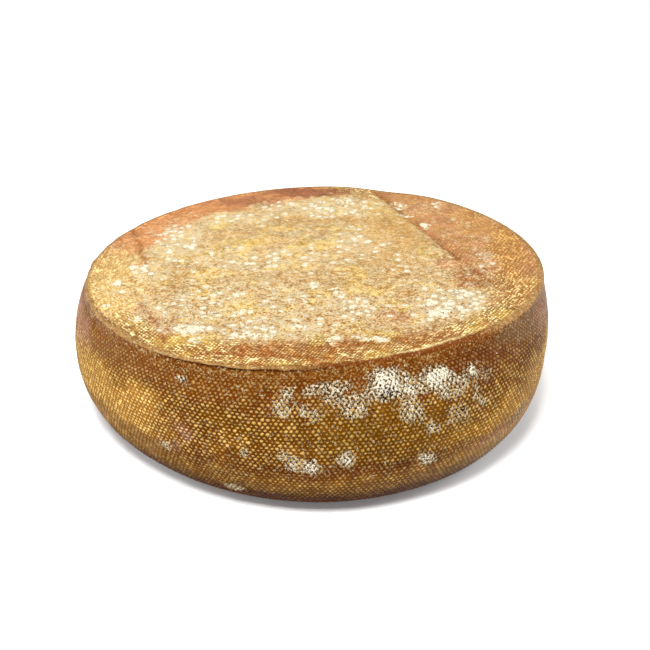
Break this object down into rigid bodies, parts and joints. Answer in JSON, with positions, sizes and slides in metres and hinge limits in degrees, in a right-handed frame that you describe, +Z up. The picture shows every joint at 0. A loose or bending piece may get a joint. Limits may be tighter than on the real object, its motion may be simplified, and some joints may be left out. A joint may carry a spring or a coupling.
{
  "type": "cheese wheel",
  "caption": "Whole round of washed-rind cheese: a squat wheel with a flat base, a swelling side, a squeezed lip round its top edge and a low fold step across its top.",
  "frame": {"origin": "middle of the flat base, under the middle of the bounding box", "axes": "+Z up through the thickness; -Y is the side where the lip of the top edge is sharpest"},
  "size_m": [0.2872, 0.2752, 0.0909],
  "materials": {
    "rind": "waxy golden-brown natural rind with a net imprint and dry white mould"
  },
  "bodies": {
    "root": {"cheese_wheel": "rind"}
  },
  "joints": []
}
